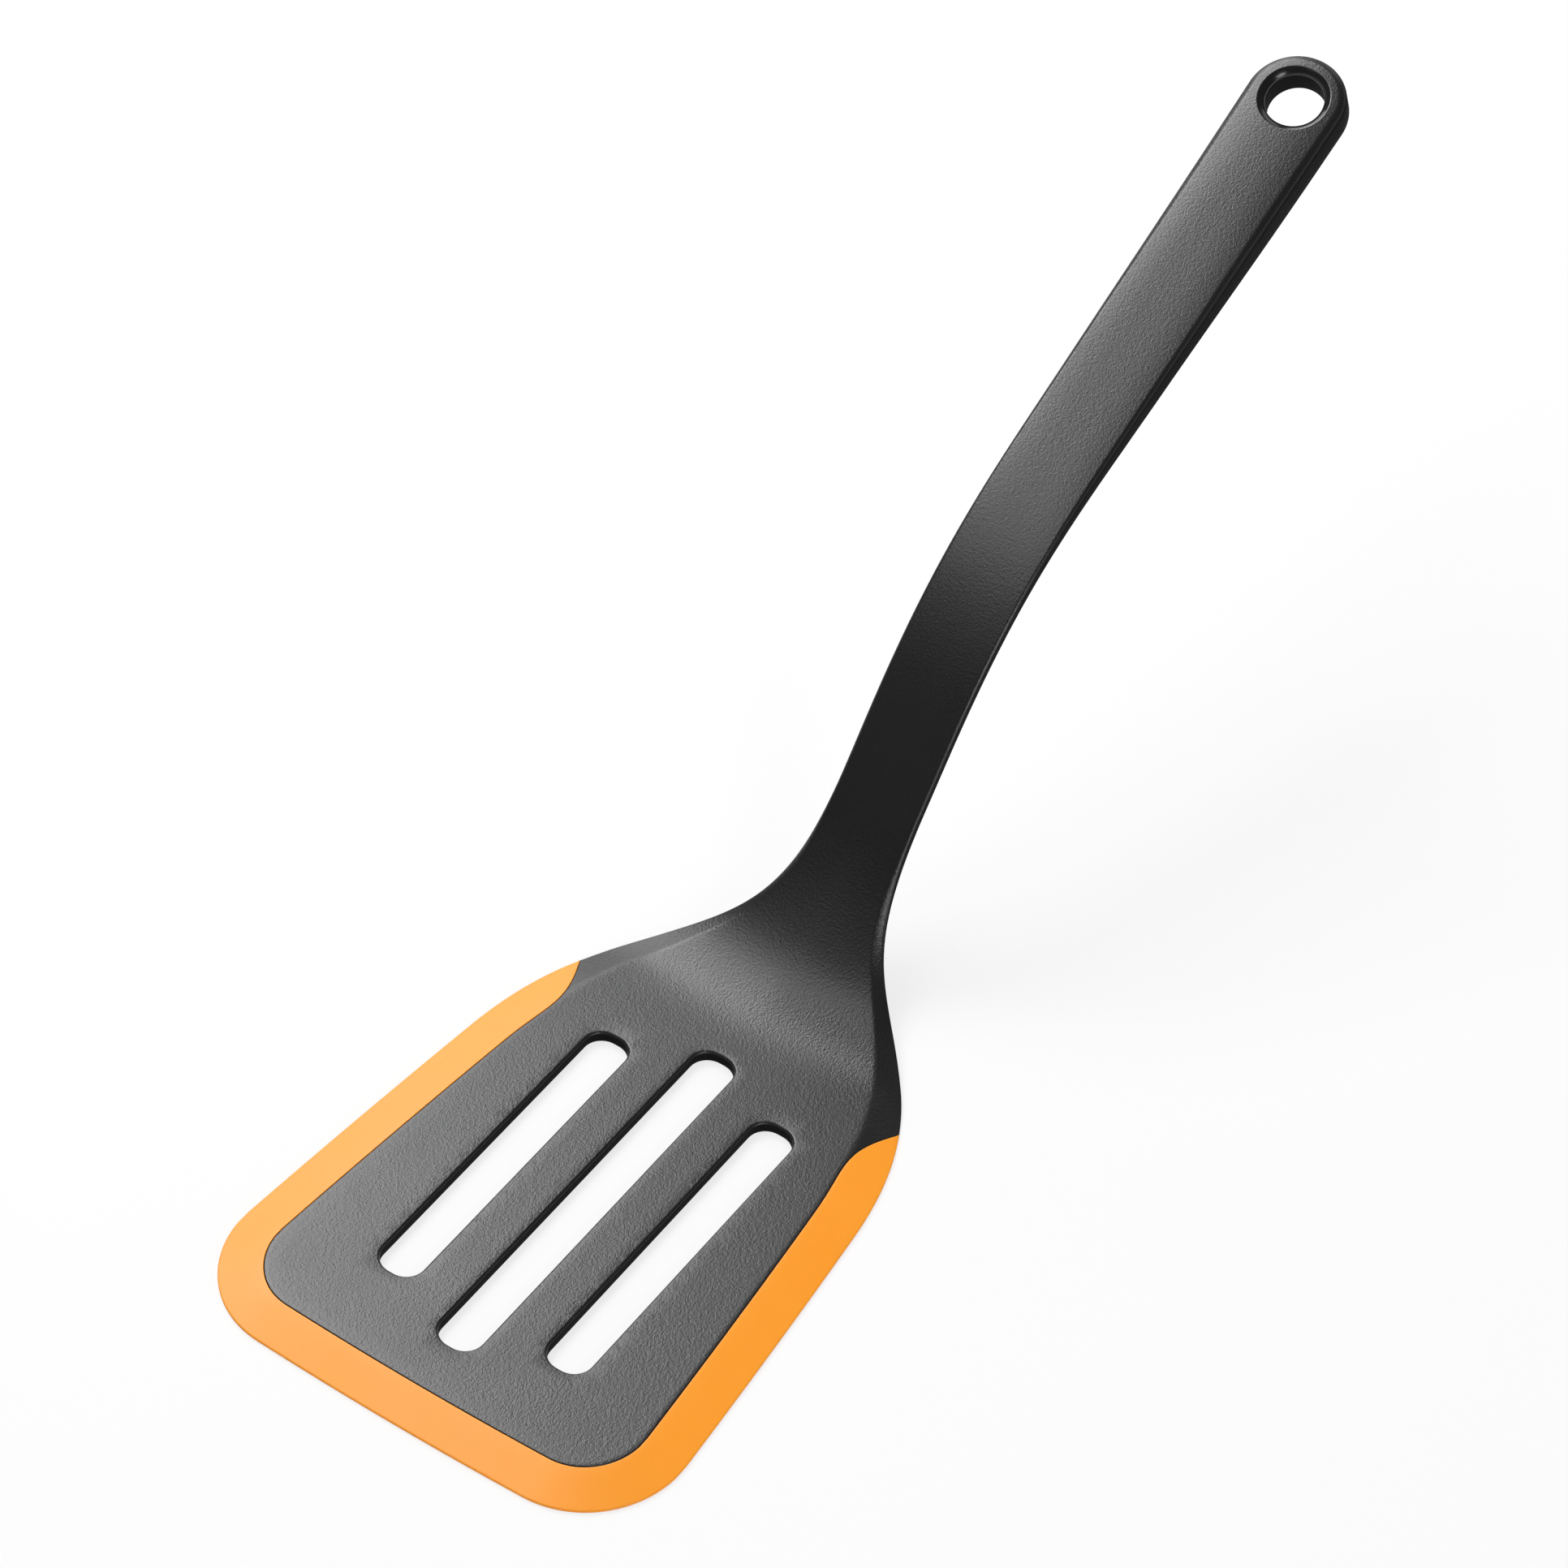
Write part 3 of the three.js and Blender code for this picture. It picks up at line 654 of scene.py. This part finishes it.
def mark_finishes(mesh):
    """Values from 0 to 1 on each point that say where the nylon's finish changes from its grain.

    band is the smooth strip along the lip, polish the flare of the hanging hole, and side the turn to the
    matt walls. Faces that are wall all over get the second material.
    """
    points, normals = np.empty((2, 3 * len(mesh.vertices)))
    mesh.vertices.foreach_get("co", points)
    mesh.vertices.foreach_get("normal", normals)
    points, normals = 1000 * points.reshape(-1, 3), normals.reshape(-1, 3)

    line = along_lip(half + half_normal * half_reach[:, None], flip=True) + (origin_x, 0)
    away = np.full(len(points), np.inf)
    for at in line:
        away = np.minimum(away, np.hypot(*(points[:, :2] - at).T))

    s = np.interp(points[:, 0] - origin_x, spine_x, spine_s)
    upright = np.abs(normals[:, 2] * np.cos(heading(s)) - normals[:, 0] * np.sin(heading(s)))
    up_handle = smoothstep(s, NECK_END, HANDLE_LENGTH / 2)
    wall, wall_range = (low + (high - low) * up_handle for low, high in (WALL_COSINES, WALL_RANGES))

    hole_up = np.array([-math.sin(heading(HOLE_CENTRE)), 0, math.cos(heading(HOLE_CENTRE))])
    from_hole = points - 1000 * level(0)(np.array([[HOLE_CENTRE, 0]]))
    depth = -from_hole @ hole_up
    radius = np.linalg.norm(from_hole + depth[:, None] * hole_up, axis=1)
    flare_depth = camber(hole_ring(HOLE_RIM_RADIUS)).max() + HOLE_RIM_DEPTH + HOLE_BORE_DROP / 2
    flare = (radius < HOLE_RIM_RADIUS + HOLE_RIM_ROUND / 2) & (depth < flare_depth)

    side = np.where(flare, 0, 1 - smoothstep(upright, wall, wall_range))

    for name, value in (
        ("band", 1 - smoothstep(away, BAND_WIDTH - BAND_EDGE, BAND_EDGE)),
        ("polish", np.where(flare, 1.0, 0.0)),
        ("side", side),
    ):
        mesh.attributes.new(name, "FLOAT", "POINT").data.foreach_set("value", value)
    for face in mesh.polygons:
        face.material_index = int(side[list(face.vertices)].min() > WALL_SHARE)


def silicone_lip(material):
    """Sloping lip round the front and sides of the blade, with its pegs."""
    shell = Shell()
    lip = Layout(along_lip)
    on_ledge = lip.at[:, 0] <= LEDGE_END
    seam = np.maximum(lip.reach - SEAM / 2, 0)
    ledge_rim = np.where(on_ledge, LIP_WIDTH - LEDGE_REACH - SEAM, seam)
    rim_round = np.minimum(RIM_ROUND, seam / 3)
    seam_round = np.minimum(SEAM_ROUND, seam / 3)

    # Sloping top face from the rim to the seam
    top, depths = [], []
    for share in LIP_SHARES:
        distance = seam * share
        flat = lip.inset(distance)
        depth = camber(flat) + lip.slope(distance)
        depth += rounding(distance, rim_round) + rounding(seam - distance, seam_round)
        top.append(place(flat, depth))
        depths.append(depth)
    shell.strip(top, closed=False)

    # Underside from the rim to the ledge
    under_rows = []
    for share in UNDER_SHARES:
        distance = ledge_rim * share
        under_rows.append(place(lip.inset(distance), lip.edge - rounding(distance, rim_round)))
    shell.strip(under_rows, closed=False)
    shell.strip([top[0], place(lip.at, (depths[0] + lip.edge) / 2), under_rows[0]], closed=False)

    # Seam, and the seat over the ledge with the pegs that go through it
    ceiling = LEDGE_DEPTH - SEAM
    foot = np.where(on_ledge, ceiling, (depths[-1] + lip.edge) / 2)
    inner, outer = place(lip.inset(seam), foot), place(lip.inset(ledge_rim), foot)
    shell.strip([top[-1], inner], closed=False)
    shell.strip([outer, under_rows[-1]], closed=False)
    ledge = np.flatnonzero(on_ledge)
    seat_loop = np.concatenate([lip.inset(seam)[ledge], lip.inset(ledge_rim)[ledge][::-1]])
    rings = [circle(peg, PEG_RADIUS, PEG_STEPS) for peg in pegs]
    shell.fill([seat_loop, *rings], level(ceiling))
    for ring in rings:
        shell.strip([level(ceiling)(ring), level(BLADE_THICKNESS)(ring)])
        shell.fill([ring], level(BLADE_THICKNESS))
    for a, b in ((ledge[0] - 1, ledge[0]), (ledge[-1], ledge[-1] + 1)):
        shell.add(np.array([inner[a], inner[b], outer[b], outer[a]]), [(0, 1, 2, 3)])
    return shell.finish("silicone_spatula_lip", [material])


# Materials


class Nodes:
    """Small helper that adds shader nodes to a material or a world and links them."""

    def __init__(self, owner):
        owner.use_nodes = True
        self.tree = owner.node_tree
        self.tree.nodes.clear()

    def add(self, kind, settings=None, **inputs):
        node = self.tree.nodes.new(kind)
        for name, value in (settings or {}).items():
            setattr(node, name, value)
        for name, value in inputs.items():
            self.put(node, name.replace("_", " "), value)
        return node

    def put(self, node, name, value):
        socket = node.inputs[int(name)] if name.isdigit() else node.inputs[name]
        if isinstance(value, bpy.types.NodeSocket):
            self.tree.links.new(value, socket)
        else:
            socket.default_value = value

    def attribute(self, name):
        return self.add("ShaderNodeAttribute", {"attribute_name": name}).outputs["Fac"]

    def noise(self, scale, detail=2.0, roughness=0.55):
        at = self.add("ShaderNodeTexCoord").outputs["Object"]
        node = self.add("ShaderNodeTexNoise", Vector=at, Scale=scale, Detail=detail, Roughness=roughness)
        return node.outputs["Fac"]

    def span(self, value, low, high, start=0.25, end=0.75):
        """A texture value carried from start..end to low..high."""
        node = self.add("ShaderNodeMapRange", Value=value)
        for name, number in (("From Min", start), ("From Max", end), ("To Min", low), ("To Max", high)):
            self.put(node, name, number)
        return node.outputs["Result"]

    def blend(self, share, first, second):
        node = self.add("ShaderNodeMix", {"data_type": "RGBA"})
        self.put(node, "0", share)
        self.put(node, "6", first)
        self.put(node, "7", second)
        return node.outputs[2]

    def mix(self, share, first, second):
        node = self.add("ShaderNodeMix", {"data_type": "FLOAT"})
        self.put(node, "0", share)
        self.put(node, "2", first)
        self.put(node, "3", second)
        return node.outputs[0]

    def math(self, operation, first, second):
        node = self.add("ShaderNodeMath", {"operation": operation})
        self.put(node, "0", first)
        self.put(node, "1", second)
        return node.outputs[0]

    def bump(self, height, strength, distance):
        node = self.add("ShaderNodeBump", Height=height, Strength=strength, Distance=distance)
        return node.outputs["Normal"]

    def surface(self, shader, output="ShaderNodeOutputMaterial"):
        self.add(output, Surface=shader.outputs[0])


# A cloudy noise blends the two colours and moves the roughness between its two values. CLOUD and GRAIN are
# the scale, detail and roughness of the noises. The grain's height and the subsurface scale are in metres.
NYLON_COLOURS = ((0.006, 0.006, 0.0065, 1), (0.009, 0.009, 0.0095, 1))
NYLON_CLOUD = (60, 4)
NYLON_GRAIN = (2000, 1, 1.0)
NYLON_GRAIN_HEIGHT = 0.00005
NYLON_ROUGHNESS = (0.30, 0.34)
BAND_ROUGHNESS = 0.31
BAND_GRAIN = 0.75
FLARE_ROUGHNESS = 0.18
SIDE_ROUGHNESS = 0.9
WALL_ROUGHNESS = (0.86, 0.94)
WALL_SPECULAR = 0.1
SILICONE_COLOURS = ((0.96, 0.31, 0.008, 1), (0.98, 0.345, 0.012, 1))
SILICONE_CLOUD = (45, 3)
SILICONE_GRAIN = (3000, 2, 0.6)
SILICONE_GRAIN_HEIGHT = 0.00003
SILICONE_GRAIN_STRENGTH = 0.15
SILICONE_ROUGHNESS = (0.42, 0.5)
SUBSURFACE_WEIGHT = 0.15
SUBSURFACE_RADIUS = (1.0, 0.35, 0.08)
SUBSURFACE_SCALE = 0.0015


def nylon_nodes(name):
    """Material with the colour of the nylon, and its shader, cloudy noise and grain."""
    material = bpy.data.materials.new(name)
    nodes = Nodes(material)
    cloud = nodes.noise(*NYLON_CLOUD)
    shader = nodes.add("ShaderNodeBsdfPrincipled")
    nodes.put(shader, "Base Color", nodes.blend(cloud, *NYLON_COLOURS))
    nodes.surface(shader)
    return material, nodes, shader, cloud, nodes.noise(*NYLON_GRAIN)


def nylon_material():
    """Grained top and underside, smoother along the lip, polished in the flare and dull near the walls."""
    material, nodes, shader, cloud, grain = nylon_nodes("black_nylon")
    band, polish, side = (nodes.attribute(name) for name in ("band", "polish", "side"))
    rough = nodes.mix(band, nodes.span(cloud, *NYLON_ROUGHNESS), BAND_ROUGHNESS)
    rough = nodes.mix(polish, rough, FLARE_ROUGHNESS)
    nodes.put(shader, "Roughness", nodes.mix(side, rough, SIDE_ROUGHNESS))
    strength = nodes.mix(polish, nodes.span(band, 1, BAND_GRAIN, 0, 1), 0.0)
    nodes.put(shader, "Normal", nodes.bump(grain, strength, NYLON_GRAIN_HEIGHT))
    return material


def wall_material():
    """Dull walls of the outline, the slots and the bore."""
    material, nodes, shader, cloud, grain = nylon_nodes("black_nylon_wall")
    nodes.put(shader, "Roughness", nodes.span(cloud, *WALL_ROUGHNESS))
    nodes.put(shader, "Specular IOR Level", WALL_SPECULAR)
    nodes.put(shader, "Normal", nodes.bump(grain, 1.0, NYLON_GRAIN_HEIGHT))
    return material


def silicone_material():
    """Satin silicone that lets a little light through."""
    material = bpy.data.materials.new("orange_silicone")
    nodes = Nodes(material)
    cloud = nodes.noise(*SILICONE_CLOUD)
    grain = nodes.noise(*SILICONE_GRAIN)
    shader = nodes.add("ShaderNodeBsdfPrincipled")
    nodes.put(shader, "Base Color", nodes.blend(cloud, *SILICONE_COLOURS))
    nodes.put(shader, "Roughness", nodes.span(cloud, *SILICONE_ROUGHNESS))
    nodes.put(shader, "Normal", nodes.bump(grain, SILICONE_GRAIN_STRENGTH, SILICONE_GRAIN_HEIGHT))
    nodes.put(shader, "Subsurface Weight", SUBSURFACE_WEIGHT)
    nodes.put(shader, "Subsurface Radius", SUBSURFACE_RADIUS)
    nodes.put(shader, "Subsurface Scale", SUBSURFACE_SCALE)
    nodes.surface(shader)
    return material


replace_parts(nylon_body(nylon_material(), wall_material()), "nylon_body")
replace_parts(silicone_lip(silicone_material()), "silicone_lip")

# Floor, light and camera

WHITE = (1, 1, 1, 1)

# Floor: half its width and its drop below the spatula in metres, its colour, and how white it looks
FLOOR_REACH = 6
FLOOR_DROP = 0.0001
FLOOR_COLOUR = (0.85, 0.85, 0.85, 1)
FLOOR_WHITE = 0.75

# Lamps: the point that they face and their distance from it in metres
LAMP_TARGET = Vector((0, 0, 0.03))
LAMP_DISTANCE = 1

# World: the sines of the elevations between which the pale horizon fades, and its light below and above them
HORIZON_FADE = (0.06, 0.16)
HORIZON_LIGHT = 1
OVERHEAD_LIGHT = 0.12

# Camera: its sensor in millimetres, its focal length and the picture's width in pixels, its place and the
# distance that it sees in metres, and the directions of the picture
SENSOR_WIDTH = 36
FOCAL_PIXELS = 7446.2
PICTURE_PIXELS = 1932
CAMERA_PLACE = (-0.63828, -0.36097, 0.78586)
CAMERA_SIGHT = 20
PICTURE_RIGHT = Vector((0.55961, -0.82668, 0.05858))
PICTURE_DOWN = Vector((-0.57107, -0.43587, -0.69563))
PICTURE_FORWARD = Vector((0.60059, 0.35583, -0.71601))


def floor():
    """Matt floor that is mostly white to the camera and in reflections, and keeps a shadow."""
    mesh = bpy.data.meshes.new("floor")
    corners = [(-1, -1), (1, -1), (1, 1), (-1, 1)]
    corners = [(FLOOR_REACH * x, FLOOR_REACH * y, -FLOOR_DROP) for x, y in corners]
    mesh.from_pydata(corners, [], [(0, 1, 2, 3)])
    material = bpy.data.materials.new("pale_floor")
    nodes = Nodes(material)
    matt = nodes.add("ShaderNodeBsdfDiffuse", Color=FLOOR_COLOUR)
    white = nodes.add("ShaderNodeEmission", Color=WHITE, Strength=1.0)
    path = nodes.add("ShaderNodeLightPath").outputs
    seen = nodes.math("MAXIMUM", path["Is Camera Ray"], path["Is Glossy Ray"])
    seen = nodes.math("MAXIMUM", seen, path["Is Transmission Ray"])
    mix = nodes.add("ShaderNodeMixShader")
    nodes.put(mix, "0", nodes.math("MULTIPLY", seen, FLOOR_WHITE))
    nodes.put(mix, "1", matt.outputs[0])
    nodes.put(mix, "2", white.outputs[0])
    nodes.surface(mix)
    mesh.materials.append(material)
    made = bpy.data.objects.new("floor", mesh)
    bpy.context.scene.collection.objects.link(made)


def lamp(name, azimuth, elevation, size, radiance):
    """Rectangular lamp that faces the spatula, at an azimuth from +X and an elevation in degrees."""
    toward = Vector((1, 0, 0))
    toward.rotate(Euler((0, math.radians(-elevation), math.radians(azimuth))))
    data = bpy.data.lights.new(name, "AREA")
    data.shape = "RECTANGLE"
    data.size, data.size_y = size
    data.energy = math.pi * size[0] * size[1] * radiance
    made = bpy.data.objects.new(name, data)
    made.location = LAMP_TARGET + LAMP_DISTANCE * toward
    made.rotation_euler = toward.to_track_quat("Z", "Y").to_euler()
    made.visible_camera = False
    bpy.context.scene.collection.objects.link(made)


def world_light():
    """Pale backdrop round the horizon, under even dim light from above."""
    world = bpy.data.worlds.new("studio")
    bpy.context.scene.world = world
    nodes = Nodes(world)
    toward = nodes.add("ShaderNodeTexCoord").outputs["Generated"]
    height = nodes.add("ShaderNodeSeparateXYZ", Vector=toward).outputs["Z"]
    strength = nodes.span(height, HORIZON_LIGHT, OVERHEAD_LIGHT, *HORIZON_FADE)
    light = nodes.add("ShaderNodeBackground", Color=WHITE, Strength=strength)
    nodes.surface(light, "ShaderNodeOutputWorld")


def camera():
    """Camera with the photograph's view."""
    data = bpy.data.cameras.new("camera")
    data.sensor_width = SENSOR_WIDTH
    data.lens = SENSOR_WIDTH * FOCAL_PIXELS / PICTURE_PIXELS
    data.clip_end = CAMERA_SIGHT
    made = bpy.data.objects.new("camera", data)
    turn = Matrix((PICTURE_RIGHT, -PICTURE_DOWN, -PICTURE_FORWARD)).transposed()
    made.matrix_world = Matrix.Translation(CAMERA_PLACE) @ turn.to_4x4()
    bpy.context.scene.collection.objects.link(made)
    bpy.context.scene.camera = made


floor()

# Lamps: azimuth, elevation, width and height in metres, and radiance
lamp("key_softbox", 66, 53, (0.6, 0.4), 10.4)
lamp("wide_softbox", 118, 66, (0.5, 0.4), 3.2)
lamp("back_card", 148, 48, (0.4, 0.3), 0.6)
lamp("rear_card", 8, 30, (0.4, 0.3), 1.2)
lamp("left_card", 48, 28, (0.6, 0.35), 4)
lamp("right_card", 252, 12, (0.5, 0.2), 5)
lamp("right_fill", 238, 34, (0.35, 0.35), 5.5)
world_light()
camera()
bpy.context.scene.view_settings.view_transform = "Standard"
